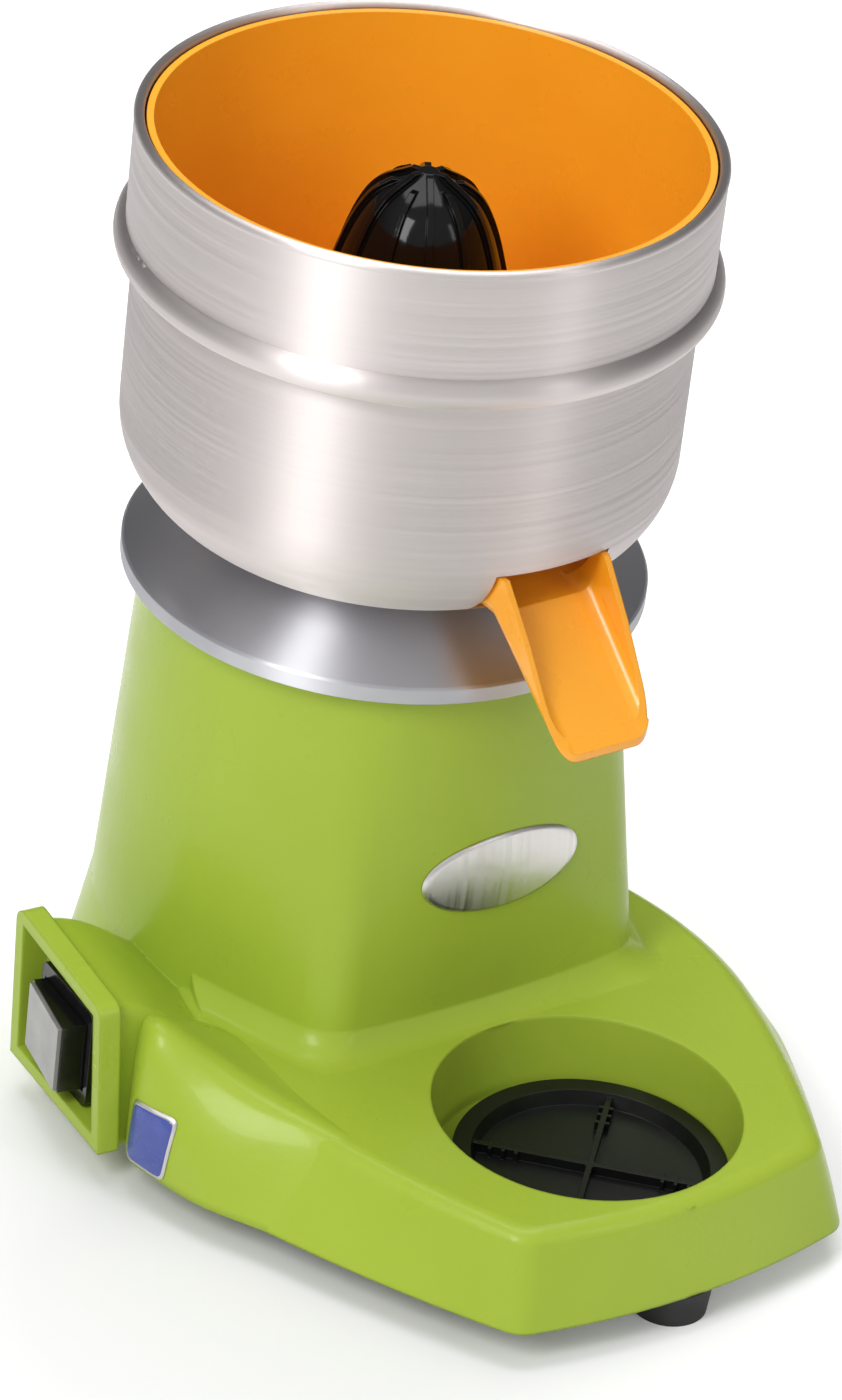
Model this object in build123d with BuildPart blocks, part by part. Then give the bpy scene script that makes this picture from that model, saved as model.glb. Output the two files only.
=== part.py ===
from build123d import *
import os
from math import cos, radians, sin, sqrt

os.makedirs("parts", exist_ok=True)

# Electric citrus juicer. Millimetres, +Z up, spout towards -Y.
# The origin is the motor axis at counter level.

# Clearances
overrun = 1.0
seat_gap = 0.3
running_gap = 0.05
screw_gap = 0.15

# Body casting: base tongue, column, cup pocket and switch hood
foot_height = 12.5
base_height = 31.8
column_height = 131.2
casting_wall = 5.0
tongue_ahead_low = 68.5
tongue_ahead_high = 58.3
corner_half_low = 66.3
corner_half_high = 60.5
corner_setback = 8.0
corner_radius = 12.0
shoulder_half_low = 114.0
shoulder_half_high = 91.5
shoulder_reach = 111.0
side_bow = 2.5
heel_radius_low = 95.0
heel_radius_high = 89.0
heel_angle = 13.0
heel_tuck = 4.0
column_front = 85.0
column_front_half = 65.0
column_corner_radius = 16.0
column_top_radius = 81.5
cove_size = 9.0
cove_corner_share = 0.8
cove_shares = ((0, 1), (0.13, 0.55), (0.4, 0.2), (1, -0.15))
tongue_edge_radius = 4.0
tongue_edge_angles = (0, 30, 60, 90)
front_angle = 31.5
corner_angle = 43.0
side_angle = 71.0

# Cup pocket and drip tray
pocket_reach = 146.0
pocket_radius_high = 52.5
pocket_radius_low = 50.0
pocket_floor = 2.0
pocket_wall = 2.5
tray_radius = 46.8
tray_draft = 1.5
tray_shift_x = 2.2
tray_shift_y = -2.8
tray_height = 6.6
tray_well_radius = 38.5
tray_floor = 1.6
tray_rib = 2.0
tray_rib_height = 3.6
tray_post = 3.0
tooth_width = 1.2
tooth_length = 5.0
tooth_pitch = 4.5
teeth_per_rib = 3
rib_count = 4

# Switch hood and switch
hood_reach = 134.5
hood_centre = -28.5
hood_turn = 4.4
hood_width = 65.0
hood_height = 58.0
hood_lean = 7.0
hood_back_lean = 3.5
hood_fall = 4.0
hood_rim = 8.0
hood_step = 3.0
hood_waist = 27.0
hood_waist_width = 61.0
hood_waist_height = 47.0
hood_heel = 48.0
hood_heel_width = 66.0
hood_heel_height = 32.0
hood_root_width = 76.0
hood_root_height = 29.0
hood_root = 80.0
hood_pit = 29.0
hood_duct = 20.0
hood_corner = 5.0
hood_wall = 5.0
recess_depth = 10.0
switch_rise = 24.5
switch_setback = 4.0
bezel_width = 36.5
bezel_height = 38.0
bezel_depth = 6.0
bezel_corner = 3.0
switch_body_width = 30.0
switch_body_height = 24.0
switch_body_depth = 16.0
rocker_width = 30.0
rocker_height = 26.4
rocker_depth = 8.5
rocker_back = 1.5
rocker_pivot = 4.0
rocker_swing_gap = 0.9
rocker_pin_length = 1.2
rocker_tilt = 8.0
rocker_pin_radius = 1.5
lens_thickness = 1.4
lens_margin = 0.6

# Base plate, feet and their screws
plate_thickness = 2.0
foot_radius = 14.0
foot_radius_low = 13.0
foot_recess_radius = 5.5
foot_recess_depth = 6.0
foot_screw_radius = 2.0
foot_screw_head = 4.0
foot_screw_head_height = 2.6
foot_nut_across = 7.0
foot_nut_height = 3.2
front_foot_gap = 2.5
front_foot_boss = 4.5
hood_foot = 107.0
side_foot = 72.0
side_foot_y = -12.0
rear_foot = 74.0
plate_screw_radius = 2.0
plate_screw_head = 3.8
plate_screw_head_height = 1.2
plate_screw_length = 12.0
plate_boss_radius = 5.5
front_boss_x = 44.0
front_boss_ahead = 46.0
waist_boss_x = 86.0
waist_boss_y = -104.0
rear_boss_x = 52.0
rear_boss_y = 60.0

# Motor flange
flange_radius = 89.3
flange_lip = 6.0
flange_edge = 0.8
flange_step = 2.0
flange_seat_radius = 44.0
flange_seat_rise = 24.0
flange_bed = 10.0
flange_skirt = 8.0
hub_radius = 22.5
hub_bore = 9.5
hub_height = 46.0
lug_radius = 7.0
lug_height = 15.0
lug_circle = 71.0
lug_count = 4
flange_screw_radius = 2.5
flange_screw_head = 4.2
flange_screw_head_height = 5.0
flange_screw_grip = 7.0

# Motor
motor_radius = 58.0
stack_height = 46.0
stack_drop = 37.5
stator_bore = 35.4
air_gap = 0.5
slot_count = 18
slot_width = 6.0
slot_depth = 11.0
winding_radius = 49.0
winding_height = 11.0
winding_inner = 38.0
rotor_overhang = 2.0
end_ring_radius = 33.0
end_ring_bore = 20.0
end_ring_height = 6.0
rotor_shaft_radius = 9.0
bearing_shaft_radius = 7.5
bearing_radius = 17.5
bearing_width = 11.0
bearing_housing = 24.0
bearing_drop = 6.5
shield_floor = 5.0
shield_drop = 17.0
shield_lip = 1.5
shield_window_radius = 6.5
shield_window_circle = 36.0
shield_window_count = 8
tie_bolt_radius = 2.4
tie_bolt_circle = 54.0
tie_bolt_count = 4
tie_bolt_head = 4.2
tie_bolt_head_height = 4.0
tie_bolt_grip = 14.0
fan_radius = 44.0
fan_hub_radius = 13.0
fan_blade = 2.0
fan_height = 11.0
fan_disc = 2.0
fan_count = 9
fan_gap = 5.0
seal_radius = 14.0
seal_height = 7.0
shaft_tail = 4.0
drive_across = 12.0
drive_height = 42.0
drive_gap = 0.3

# Steel bowl
sheet = 1.2
bowl_radius = 94.0
bowl_corner = 34.0
bowl_hole = 30.0
bowl_wall_height = 91.0
bead_out = 7.0
bead_height = 11.0
bead_peak_share = 0.45
collar_out = 3.3
rim_tube = 1.8
rim_in = 1.5
bowl_height = 140.0

# Juice liner and spout
liner_gap = 0.5
liner_wall = 2.4
liner_floor = 9.1
liner_foot_share = 0.7
liner_foot_width = 4.0
liner_flare = 1.0
liner_top_drop = 2.0
chimney_radius = 26.5
chimney_wall = 2.5
chimney_height = 47.0
ledge_height = 36.0
ledge_width = 3.5
ledge_thickness = 2.5
spout_root_in = 30.0
spout_overhang = 37.0
spout_bend_in = 6.0
spout_root_half = 21.7
spout_bend_half = 21.2
spout_tip_half = 19.8
spout_root_low = 6.5
spout_root_high = 24.0
spout_tip_low = -25.4
spout_brow_out = 13.0
spout_brow_high = 7.3
spout_lip_in = 5.0
spout_lip_high = -18.9
spout_tip_high = -22.6
spout_wall = 2.2
spout_corner = 7.0
spout_lip_radius = 9.0
notch_gap = 0.8

# Strainer
strainer_gap = 1.3
strainer_sheet = 2.0
strainer_collar = 27.4
strainer_slots = 16
strainer_slot_rings = 2
slot_margin = 5.0
strainer_slot_width = 2.4

# Cone
washer_radius = 26.0
washer_bore = 8.2
washer_thickness = 2.5
cone_height = 75.0
cone_base_radius = 39.0
cone_shares = (
    (1, 0),
    (0.92, 0.09),
    (0.85, 0.265),
    (0.72, 0.537),
    (0.55, 0.79),
    (0.41, 0.893),
    (0.256, 0.945),
    (0.08, 1),
)
cone_inner_share = 0.8
cone_waist_share = 0.6
cone_shell = 3.0
cone_socket_radius = 11.0
ridge_count = 6
ridge_width = 2.2
ridge_height = 1.1
short_ridge_drop = 3.5

# Electrical pieces in the base
capacitor_radius = 11.0
capacitor_length = 46.0
capacitor_x = 18.0
capacitor_y = 46.0
clip_wall = 1.2
clip_width = 10.0
clip_foot = 9.0
terminal_length = 30.0
terminal_width = 14.0
terminal_height = 12.0
terminal_x = -46.0
terminal_y = 20.0
terminal_poles = 3
terminal_hole = 1.6
gland_radius = 8.0
gland_bore = 4.0
gland_head = 11.0
gland_head_length = 9.0
gland_thread = 12.0
gland_height = 17.0
gland_face = 96.0
gland_boss_radius = 13.0
gland_boss_depth = 14.0
gland_nut_across = 21.0
gland_nut_height = 5.0

# Plan sizes that follow from the bowl and the pocket
tongue_front_low = pocket_reach + tongue_ahead_low
tongue_front_high = pocket_reach + tongue_ahead_high
front_boss_y = -pocket_reach - front_boss_ahead
front_foot = pocket_reach + pocket_radius_low + pocket_wall + front_foot_gap
bead_radius = bowl_radius + bead_out
collar_radius = bowl_radius + collar_out
liner_radius = bowl_radius - sheet - liner_gap
liner_top_radius = liner_radius + liner_flare
liner_corner = bowl_corner - sheet - liner_gap
strainer_radius = liner_radius - liner_wall - strainer_gap
spout_root = bowl_radius - spout_root_in
spout_tip = bowl_radius + spout_overhang

# Levels
base_z = foot_height
base_top_z = base_z + base_height
column_top_z = base_top_z + column_height
plate_top_z = base_z + plate_thickness
pocket_floor_z = plate_top_z + seat_gap + pocket_floor
bowl_z = column_top_z + flange_seat_rise
rim_z = bowl_z + bowl_height
stack_top_z = column_top_z - stack_drop
stack_low_z = stack_top_z - stack_height
upper_bearing_z = column_top_z - bearing_drop - bearing_width
shield_z = stack_low_z - shield_drop
lower_bearing_z = shield_z + shield_floor - bearing_width
liner_z = bowl_z + sheet
chimney_top_z = liner_z + chimney_height
washer_z = chimney_top_z
cone_z = washer_z + washer_thickness
cone_tip_z = cone_z + cone_height
drive_z = cone_z
seal_z = bowl_z + hub_height - seal_height


def tongue_outline(level, front, corner_half, shoulder_half, heel_radius):
    """Plan of the base tongue: bowed front, flared sides, and a heel that runs into the column."""
    corner = Vector(corner_half, corner_setback - front)
    shoulder = Vector(shoulder_half, -shoulder_reach)
    along = shoulder - corner
    outward = Vector(along.Y, -along.X) * (side_bow / along.length)
    middle = (shoulder + corner) / 2 + outward
    heel = Vector(heel_radius - heel_tuck, 0).rotate(Axis.Z, -heel_angle)
    with BuildSketch(Plane.XY.offset(level)) as outline:
        with BuildLine():
            TangentArc((0, -front), corner, tangent=(1, 0))
            side = ThreePointArc(corner, middle, shoulder)
            TangentArc(shoulder, heel, tangent=side % 1)
            Line(heel, (0, heel.Y))
            mirror(about=Plane.YZ)
        make_face()
        fillet(outline.vertices().sort_by(Axis.Y)[:2], radius=corner_radius)
    return outline.sketch


def column_outline(level, front, front_half, rear_radius):
    """Plan of the column's foot: flat front, rounded corners, straight sides and a round back."""
    corner = Vector(front_half, -front)
    reach = corner.length
    swing = sqrt(reach ** 2 - rear_radius ** 2)
    across = Vector(-corner.Y, corner.X)
    touch = corner * (rear_radius ** 2 / reach ** 2) + across * (rear_radius * swing / reach ** 2)
    with BuildLine() as outline:
        FilletPolyline((0, -front), corner, touch, radius=column_corner_radius)
        ThreePointArc(touch, Vector(rear_radius, 0).rotate(Axis.Z, 45), (0, rear_radius))
        mirror(about=Plane.YZ)
    return Pos(0, 0, level) * make_face(outline.edges())


def round_outline(level, radius):
    """Plan of the column's round top, cut where its foot has corners."""
    stops = (0, front_angle, corner_angle, side_angle, 180)
    with BuildLine() as outline:
        for start, end in zip(stops, stops[1:]):
            places = [Vector(0, -radius).rotate(Axis.Z, angle) for angle in (start, (start + end) / 2, end)]
            ThreePointArc(*places)
        mirror(about=Plane.YZ)
    return Pos(0, 0, level) * make_face(outline.edges())


tongue_sizes = (
    (tongue_front_low, tongue_front_high),
    (corner_half_low, corner_half_high),
    (shoulder_half_low, shoulder_half_high),
    (heel_radius_low, heel_radius_high),
)


def tongue_at(level, inset):
    """Plan of the tongue at a level on its sloping sides, drawn in by the inset."""
    share = (level - base_z) / base_height
    return tongue_outline(level, *[low + (high - low) * share - inset for low, high in tongue_sizes])


def heel_at(level, inset):
    """Plan of the column's foot at a level of the base, drawn in by the inset."""
    share = (level - base_z) / base_height
    radius = heel_radius_low + (heel_radius_high - heel_radius_low) * share
    return column_outline(level, column_front - inset, column_front_half - inset, radius - inset)


outer_heel = [heel_at(base_z, 0), heel_at(base_top_z, 0)]
outer_column = [heel_at(base_top_z, 0), round_outline(column_top_z, column_top_radius)]
inner_tongue = [tongue_at(base_z, casting_wall), tongue_at(base_top_z - casting_wall, casting_wall)]
inner_heel = [heel_at(base_z, casting_wall), heel_at(base_top_z, casting_wall)]
inner_column = [
    heel_at(base_top_z, casting_wall),
    round_outline(column_top_z, column_top_radius - casting_wall),
]

hood_plane = Plane(
    origin=(-hood_reach, hood_centre, base_z),
    x_dir=(-sin(radians(hood_turn)), -cos(radians(hood_turn)), 0),
    z_dir=(-cos(radians(hood_turn)), sin(radians(hood_turn)), 0),
)

tongue_edge_z = base_top_z - tongue_edge_radius
tongue_edge = [
    tongue_at(
        tongue_edge_z + tongue_edge_radius * sin(radians(angle)),
        tongue_edge_radius * (1 - cos(radians(angle))),
    )
    for angle in tongue_edge_angles
]

with BuildPart() as tongue:
    loft([tongue_at(base_z, 0), tongue_at(tongue_edge_z, 0)])
    loft(tongue_edge)

# Concave sweep of the column's foot, kept to the top of the tongue
cove_outlines = [
    column_outline(
        base_top_z + rise * cove_size,
        column_front + spread * cove_size,
        column_front_half + spread * cove_size * cove_corner_share,
        heel_radius_high + spread * cove_size,
    )
    for rise, spread in cove_shares
]

with BuildPart() as cove:
    loft(cove_outlines)
    extrude(tongue_edge[-1], amount=cove_size, dir=(0, 0, 1), mode=Mode.INTERSECT)


def hood_section(depth, width, height, fall, wall=0):
    """Upright section of the switch hood, leaning back and lower in front, drawn in by any wall."""
    with BuildSketch(hood_plane.offset(-depth)) as section:
        with BuildLine():
            Polyline(
                (-width / 2, 0),
                (width / 2, 0),
                (width / 2 - hood_lean, height - fall),
                (-width / 2 - hood_back_lean, height),
                close=True,
            )
        make_face()
        if wall:
            offset(amount=-wall, kind=Kind.INTERSECTION, mode=Mode.REPLACE)
        else:
            fillet(section.vertices().sort_by(Axis.Y)[-2:], radius=hood_corner)
    return section.sketch


hood_back = recess_depth + hood_wall
hood_inner_width = hood_width - 2 * (hood_step + hood_wall) - hood_lean
hood_inner_height = hood_waist_height - hood_fall - hood_wall
switch_place = (-switch_setback, switch_rise)
plate_bosses = [
    (side * x, y) for side in (1, -1) for x, y in ((front_boss_x, front_boss_y), (waist_boss_x, waist_boss_y))
]
rear_bosses = [(side * rear_boss_x, rear_boss_y) for side in (1, -1)]
front_foot_place = (0, -front_foot)
nut_foot_places = [(-hood_foot, side_foot_y), (side_foot, side_foot_y), (0, rear_foot)]
foot_places = [front_foot_place, *nut_foot_places]
foot_screw_top = plate_top_z + foot_nut_height + overrun
gland_plane = Plane(origin=(0, gland_face, base_z + gland_height), x_dir=(-1, 0, 0), z_dir=(0, 1, 0))

with BuildPart() as body_casting:
    add(tongue)
    loft(outer_heel)
    loft(outer_column)
    add(cove)
    # Switch hood: a proud rim, and a body behind it that runs down to the column's foot
    extrude(hood_section(0, hood_width, hood_height, hood_fall), amount=-hood_rim)
    loft(
        [
            hood_section(hood_rim, hood_width - 2 * hood_step, hood_height - hood_step, hood_fall),
            hood_section(hood_waist, hood_waist_width, hood_waist_height, hood_fall),
            hood_section(hood_heel, hood_heel_width, hood_heel_height, hood_fall),
            hood_section(hood_root, hood_root_width, hood_root_height, hood_fall),
        ]
    )
    with BuildSketch(gland_plane):
        Circle(gland_boss_radius)
    extrude(amount=-gland_boss_depth)
    # Hollow for the motor and the wiring, open below and at the top
    loft(inner_tongue, mode=Mode.SUBTRACT)
    loft(inner_heel, mode=Mode.SUBTRACT)
    loft(inner_column, mode=Mode.SUBTRACT)
    for start, end, height in ((hood_back, hood_pit, hood_inner_height), (hood_back, hood_root, hood_duct)):
        with BuildSketch(hood_plane.offset(-start)):
            with Locations((-hood_lean / 2, 0)):
                Rectangle(hood_inner_width, height, align=(Align.CENTER, Align.MIN))
        extrude(amount=start - end, mode=Mode.SUBTRACT)
    # Wall and floor of the cup pocket
    with BuildSketch(Plane.XY.offset(pocket_floor_z - pocket_floor)):
        with Locations((0, -pocket_reach)):
            Circle(pocket_radius_low + pocket_wall)
    with BuildSketch(Plane.XY.offset(base_top_z - tongue_edge_radius)):
        with Locations((0, -pocket_reach)):
            Circle(pocket_radius_high + pocket_wall)
    loft()
    # Bosses for the base plate's screws, and lugs for the flange's screws
    with BuildSketch(Plane.XY.offset(plate_top_z)):
        with Locations(*plate_bosses):
            Circle(plate_boss_radius)
        with Locations(front_foot_place):
            Circle(front_foot_boss)
    extrude(amount=base_top_z - casting_wall / 2 - plate_top_z)
    with BuildSketch(Plane.XY.offset(plate_top_z)):
        with Locations(*rear_bosses):
            Circle(plate_boss_radius)
    extrude(amount=base_top_z - plate_top_z)
    with BuildSketch(Plane.XY.offset(column_top_z)):
        with PolarLocations(lug_circle, lug_count, start_angle=45):
            Circle(lug_radius)
    extrude(amount=-lug_height)
    # Cup pocket
    with BuildSketch(Plane.XY.offset(pocket_floor_z)):
        with Locations((0, -pocket_reach)):
            Circle(pocket_radius_low)
    with BuildSketch(Plane.XY.offset(base_top_z)):
        with Locations((0, -pocket_reach)):
            Circle(pocket_radius_high)
    loft(mode=Mode.SUBTRACT)
    # Switch recess and its panel hole, gland hole and screw holes
    recess_mouth = hood_section(0, hood_width, hood_height, hood_fall, hood_wall)
    extrude(recess_mouth, amount=-recess_depth, mode=Mode.SUBTRACT)
    with BuildSketch(hood_plane.offset(-recess_depth)):
        with Locations(switch_place):
            Rectangle(switch_body_width + 2 * seat_gap, switch_body_height + 2 * seat_gap)
    extrude(amount=-hood_wall - overrun, mode=Mode.SUBTRACT)
    with BuildSketch(gland_plane):
        Circle(gland_radius + seat_gap)
    extrude(amount=-gland_boss_depth - overrun, mode=Mode.SUBTRACT)
    with BuildSketch(Plane.XY.offset(plate_top_z)):
        with Locations(*plate_bosses, *rear_bosses):
            Circle(plate_screw_radius + screw_gap)
    extrude(amount=plate_screw_length, mode=Mode.SUBTRACT)
    with BuildSketch(Plane.XY.offset(plate_top_z)):
        with Locations(front_foot_place):
            Circle(foot_screw_radius + screw_gap)
    extrude(amount=foot_screw_top + overrun - plate_top_z, mode=Mode.SUBTRACT)
    with BuildSketch(Plane.XY.offset(column_top_z)):
        with PolarLocations(lug_circle, lug_count, start_angle=45):
            Circle(flange_screw_radius + screw_gap)
    extrude(amount=-lug_height, mode=Mode.SUBTRACT)

body_casting.part.label = "body_casting"
export_step(body_casting.part, "parts/body_casting.step")

# Base plate, feet and their fasteners
plate_inset = casting_wall + seat_gap
hood_floor = Plane(origin=hood_plane.origin, x_dir=hood_plane.x_dir, z_dir=(0, 0, 1))
plate_heel = [
    heel_at(plate_top_z, plate_inset),
    Pos(0, 0, -plate_thickness) * heel_at(plate_top_z, plate_inset),
]

with BuildPart() as base_plate:
    with BuildSketch(hood_floor):
        with Locations((-hood_lean / 2, hood_back + seat_gap)):
            Rectangle(
                hood_inner_width - 2 * seat_gap, hood_root - hood_back, align=(Align.CENTER, Align.MIN)
            )
    extrude(amount=plate_thickness)
    loft(plate_heel)
    extrude(tongue_at(plate_top_z, plate_inset), amount=plate_thickness, dir=(0, 0, -1))
    with BuildSketch(Plane.XY.offset(base_z)):
        with Locations(*plate_bosses, *rear_bosses):
            Circle(plate_screw_radius + screw_gap)
        with Locations(*foot_places):
            Circle(foot_screw_radius + screw_gap)
    extrude(amount=plate_thickness, mode=Mode.SUBTRACT)

base_plate.part.label = "base_plate"
export_step(base_plate.part, "parts/base_plate.step")

with BuildPart() as base_plate_screws:
    with BuildSketch(Plane.XY.offset(base_z)):
        with Locations(*plate_bosses, *rear_bosses):
            Circle(plate_screw_head)
    extrude(amount=-plate_screw_head_height)
    with BuildSketch(Plane.XY.offset(base_z)):
        with Locations(*plate_bosses, *rear_bosses):
            Circle(plate_screw_radius)
    extrude(amount=plate_screw_length)

base_plate_screws.part.label = "base_plate_screws"
export_step(base_plate_screws.part, "parts/base_plate_screws.step")

with BuildPart() as rubber_feet:
    with Locations(*foot_places):
        Cone(foot_radius_low, foot_radius, foot_height, align=(Align.CENTER, Align.CENTER, Align.MIN))
    with BuildSketch():
        with Locations(*foot_places):
            Circle(foot_recess_radius)
    extrude(amount=foot_recess_depth, mode=Mode.SUBTRACT)
    with BuildSketch():
        with Locations(*foot_places):
            Circle(foot_screw_radius + screw_gap)
    extrude(amount=foot_height, mode=Mode.SUBTRACT)

rubber_feet.part.label = "rubber_feet"
export_step(rubber_feet.part, "parts/rubber_feet.step")

with BuildPart() as foot_screws:
    with BuildSketch(Plane.XY.offset(foot_recess_depth)):
        with Locations(*foot_places):
            Circle(foot_screw_head)
    extrude(amount=-foot_screw_head_height)
    with BuildSketch(Plane.XY.offset(foot_recess_depth)):
        with Locations(*foot_places):
            Circle(foot_screw_radius)
    extrude(amount=foot_screw_top - foot_recess_depth)

foot_screws.part.label = "foot_screws"
export_step(foot_screws.part, "parts/foot_screws.step")

with BuildPart() as foot_nuts:
    with BuildSketch(Plane.XY.offset(plate_top_z)):
        with Locations(*nut_foot_places):
            RegularPolygon(foot_nut_across / 2, 6, major_radius=False)
        with Locations(*nut_foot_places):
            Circle(foot_screw_radius + screw_gap, mode=Mode.SUBTRACT)
    extrude(amount=foot_nut_height)

foot_nuts.part.label = "foot_nuts"
export_step(foot_nuts.part, "parts/foot_nuts.step")

# Motor flange: polished dish, bowl seat, tall hub against juice, and the motor's upper end shield
lip_z = column_top_z + flange_lip
hub_top_z = bowl_z + hub_height
bearing_top_z = upper_bearing_z + bearing_width
skirt_inner = motor_radius - flange_skirt

with BuildPart() as motor_flange:
    with BuildSketch(Plane.XZ):
        with BuildLine():
            Polyline(
                (flange_radius, column_top_z),
                (flange_radius, lip_z - flange_edge),
                (flange_radius - flange_edge, lip_z),
                (flange_seat_radius + flange_step, bowl_z - flange_step),
                (flange_seat_radius, bowl_z),
                (hub_radius, bowl_z),
                (hub_radius, hub_top_z),
                (seal_radius + running_gap, hub_top_z),
                (seal_radius + running_gap, seal_z),
                (hub_bore, seal_z),
                (hub_bore, bearing_top_z),
                (bearing_radius + running_gap, bearing_top_z),
                (bearing_radius + running_gap, upper_bearing_z),
                (bearing_housing, upper_bearing_z),
                (bearing_housing, column_top_z + flange_bed),
                (skirt_inner, column_top_z + flange_bed),
                (skirt_inner, stack_top_z),
                (motor_radius, stack_top_z),
                (motor_radius, column_top_z),
                close=True,
            )
        make_face()
    revolve(axis=Axis.Z)
    with BuildSketch(Plane.XY.offset(column_top_z)):
        with PolarLocations(lug_circle, lug_count, start_angle=45):
            Circle(flange_screw_radius + screw_gap)
    extrude(amount=flange_screw_grip + overrun, mode=Mode.SUBTRACT)
    with BuildSketch(Plane.XY.offset(stack_top_z)):
        with PolarLocations(tie_bolt_circle, tie_bolt_count):
            Circle(tie_bolt_radius + screw_gap)
    extrude(amount=tie_bolt_grip + overrun, mode=Mode.SUBTRACT)

motor_flange.part.label = "motor_flange"
export_step(motor_flange.part, "parts/motor_flange.step")

lug_low_z = column_top_z - lug_height

with BuildPart() as flange_screws:
    with BuildSketch(Plane.XY.offset(lug_low_z)):
        with PolarLocations(lug_circle, lug_count, start_angle=45):
            Circle(flange_screw_head)
    extrude(amount=-flange_screw_head_height)
    with BuildSketch(Plane.XY.offset(lug_low_z)):
        with PolarLocations(lug_circle, lug_count, start_angle=45):
            Circle(flange_screw_radius)
    extrude(amount=lug_height + flange_screw_grip)

flange_screws.part.label = "flange_screws"
export_step(flange_screws.part, "parts/flange_screws.step")

with BuildPart() as shaft_seal:
    with BuildSketch(Plane.XY.offset(seal_z)):
        Circle(seal_radius)
        Circle(bearing_shaft_radius + running_gap, mode=Mode.SUBTRACT)
    extrude(amount=seal_height)

shaft_seal.part.label = "shaft_seal"
export_step(shaft_seal.part, "parts/shaft_seal.step")

with BuildPart() as upper_bearing:
    with BuildSketch(Plane.XY.offset(upper_bearing_z)):
        Circle(bearing_radius)
        Circle(bearing_shaft_radius + running_gap, mode=Mode.SUBTRACT)
    extrude(amount=bearing_width)

upper_bearing.part.label = "upper_bearing"
export_step(upper_bearing.part, "parts/upper_bearing.step")

with BuildPart() as lower_bearing:
    with BuildSketch(Plane.XY.offset(lower_bearing_z)):
        Circle(bearing_radius)
        Circle(bearing_shaft_radius + running_gap, mode=Mode.SUBTRACT)
    extrude(amount=bearing_width)

lower_bearing.part.label = "lower_bearing"
export_step(lower_bearing.part, "parts/lower_bearing.step")

with BuildPart() as stator_core:
    with BuildSketch(Plane.XY.offset(stack_low_z)):
        Circle(motor_radius)
        Circle(stator_bore, mode=Mode.SUBTRACT)
        with PolarLocations(stator_bore + (slot_depth - overrun) / 2, slot_count):
            Rectangle(slot_depth + overrun, slot_width, mode=Mode.SUBTRACT)
        with PolarLocations(tie_bolt_circle, tie_bolt_count):
            Circle(tie_bolt_radius + screw_gap, mode=Mode.SUBTRACT)
    extrude(amount=stack_height)

stator_core.part.label = "stator_core"
export_step(stator_core.part, "parts/stator_core.step")

with BuildPart() as stator_winding:
    for ring_z in (stack_top_z, stack_low_z - winding_height):
        with BuildSketch(Plane.XY.offset(ring_z)):
            Circle(winding_radius)
            Circle(winding_inner, mode=Mode.SUBTRACT)
        extrude(amount=winding_height)

stator_winding.part.label = "stator_winding"
export_step(stator_winding.part, "parts/stator_winding.step")

shield_lip_z = lower_bearing_z - shield_lip

with BuildPart() as lower_end_shield:
    with BuildSketch(Plane.XZ):
        with BuildLine():
            Polyline(
                (motor_radius, stack_low_z),
                (motor_radius, shield_z),
                (bearing_housing, shield_z),
                (bearing_housing, shield_lip_z),
                (rotor_shaft_radius + overrun, shield_lip_z),
                (rotor_shaft_radius + overrun, lower_bearing_z),
                (bearing_radius + running_gap, lower_bearing_z),
                (bearing_radius + running_gap, shield_z + shield_floor),
                (skirt_inner, shield_z + shield_floor),
                (skirt_inner, stack_low_z),
                close=True,
            )
        make_face()
    revolve(axis=Axis.Z)
    with BuildSketch(Plane.XY.offset(shield_z)):
        with PolarLocations(shield_window_circle, shield_window_count):
            Circle(shield_window_radius)
        with PolarLocations(tie_bolt_circle, tie_bolt_count):
            Circle(tie_bolt_radius + screw_gap)
    extrude(amount=shield_drop, mode=Mode.SUBTRACT)

lower_end_shield.part.label = "lower_end_shield"
export_step(lower_end_shield.part, "parts/lower_end_shield.step")

with BuildPart() as motor_tie_bolts:
    with BuildSketch(Plane.XY.offset(shield_z)):
        with PolarLocations(tie_bolt_circle, tie_bolt_count):
            Circle(tie_bolt_head)
    extrude(amount=-tie_bolt_head_height)
    with BuildSketch(Plane.XY.offset(shield_z)):
        with PolarLocations(tie_bolt_circle, tie_bolt_count):
            Circle(tie_bolt_radius)
    extrude(amount=stack_top_z + tie_bolt_grip - shield_z)

motor_tie_bolts.part.label = "motor_tie_bolts"
export_step(motor_tie_bolts.part, "parts/motor_tie_bolts.step")

# Rotor: shaft, core, end rings and fan
rotor_low_z = stack_low_z - rotor_overhang
rotor_height = stack_height + 2 * rotor_overhang
fan_top_z = shield_lip_z - fan_gap
fan_z = fan_top_z - fan_height
lower_bearing_top_z = lower_bearing_z + bearing_width

with BuildPart() as motor_shaft:
    with BuildSketch(Plane.XY.offset(fan_z - shaft_tail)):
        Circle(bearing_shaft_radius)
    extrude(amount=drive_z - fan_z + shaft_tail)
    with BuildSketch(Plane.XY.offset(lower_bearing_top_z)):
        Circle(rotor_shaft_radius)
    extrude(amount=upper_bearing_z - lower_bearing_top_z)
    with BuildSketch(Plane.XY.offset(drive_z)):
        RegularPolygon(drive_across / 2, 6, major_radius=False)
    extrude(amount=drive_height)

motor_shaft.part.label = "motor_shaft"
export_step(motor_shaft.part, "parts/motor_shaft.step")

with BuildPart() as rotor_core:
    with BuildSketch(Plane.XY.offset(rotor_low_z)):
        Circle(stator_bore - air_gap)
        Circle(rotor_shaft_radius + running_gap, mode=Mode.SUBTRACT)
    extrude(amount=rotor_height)

rotor_core.part.label = "rotor_core"
export_step(rotor_core.part, "parts/rotor_core.step")

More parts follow.
